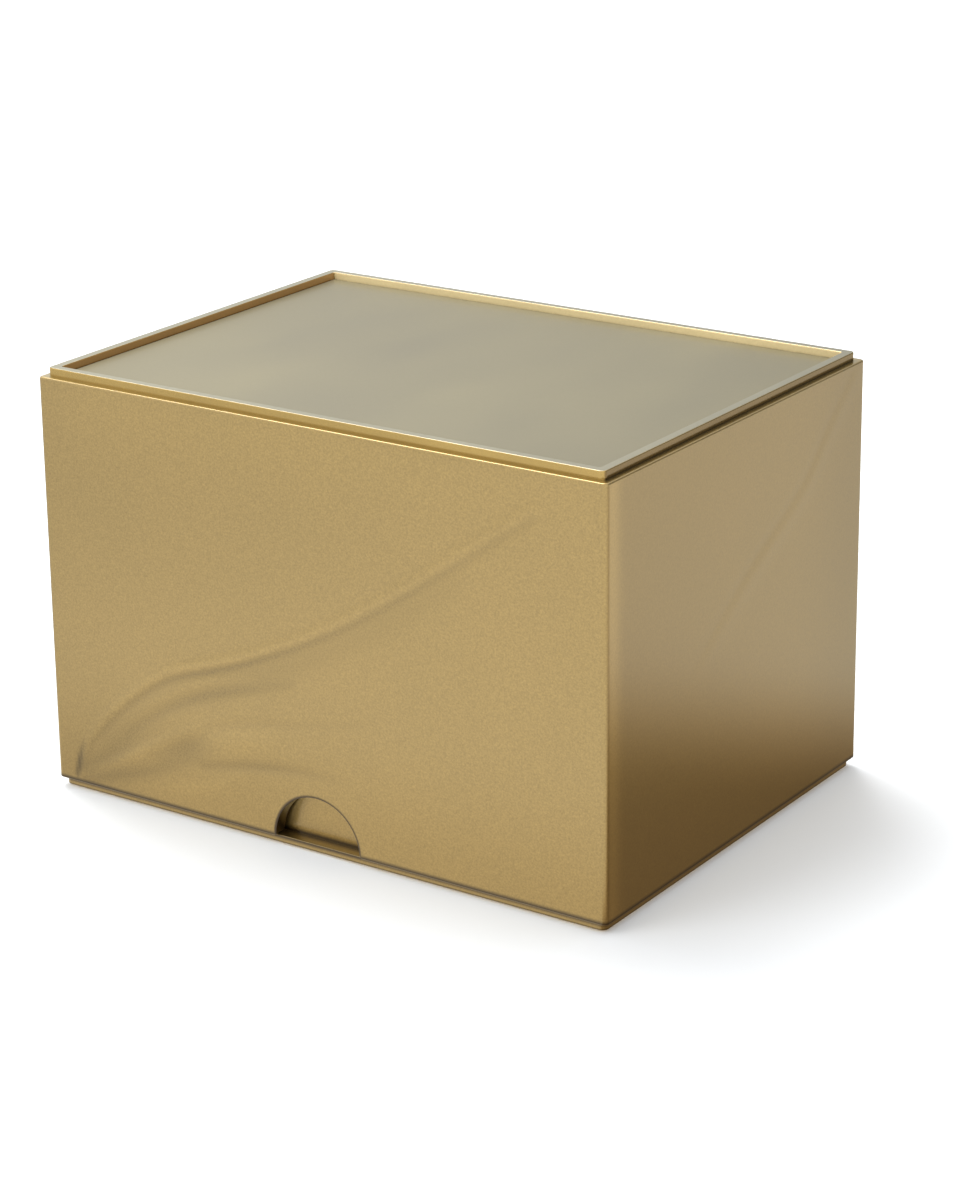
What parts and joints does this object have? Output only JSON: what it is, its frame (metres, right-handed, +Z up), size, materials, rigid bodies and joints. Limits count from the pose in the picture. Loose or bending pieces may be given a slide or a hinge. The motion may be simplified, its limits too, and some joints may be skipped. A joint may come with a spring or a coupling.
{
  "type": "wedding card box",
  "caption": "Rectangular gold box for wedding cards: a deep lift-off cover with a raised rim, recessed top panel and half-round thumb notches, over a felt-lined tray on a thin plinth.",
  "frame": {"origin": "on the surface the box stands on, at the centre of its footprint", "axes": "+X along the long side, towards the right as seen from the front; +Y towards the back, so the front is on -Y; +Z up, the way the cover lifts"},
  "size_m": [0.3, 0.22, 0.2015],
  "materials": {
    "gold_lacquer": "satin metallic gold lacquer with a fine sparkle over fibreboard",
    "rim_gold": "glossier metallic gold lacquer over fibreboard rails",
    "satin_panel": "satin champagne-grey sheet with a faint cloudy sheen",
    "felt": "short-napped champagne felt",
    "grey_board": "unfinished grey board, hidden under the felt",
    "foot_rubber": "matt black rubber",
    "screw_steel": "yellow zinc-plated countersunk screws",
    "tape": "white foam adhesive strip"
  },
  "bodies": {
    "base": {"base_feet": "foot_rubber", "base_plate": "gold_lacquer", "floor_board": "grey_board", "floor_lining": "felt", "tray_back": "gold_lacquer", "tray_front": "gold_lacquer", "tray_left": "gold_lacquer", "tray_lining_back": "felt", "tray_lining_front": "felt", "tray_lining_left": "felt", "tray_lining_right": "felt", "tray_right": "gold_lacquer", "tray_screws": "screw_steel"},
    "cover": {"cover_back": "gold_lacquer", "cover_deck": "gold_lacquer", "cover_front": "gold_lacquer", "cover_left": "gold_lacquer", "cover_lining_back": "felt", "cover_lining_front": "felt", "cover_lining_left": "felt", "cover_lining_right": "felt", "cover_lining_top": "felt", "cover_right": "gold_lacquer", "panel_tape": "tape", "rim_back": "rim_gold", "rim_front": "rim_gold", "rim_left": "rim_gold", "rim_right": "rim_gold", "top_panel": "satin_panel"}
  },
  "joints": [
    {"name": "cover_lift", "type": "slide", "parent": "base", "child": "cover", "axis": [0, 0, 1], "range_m": [0, 0.2]}
  ]
}
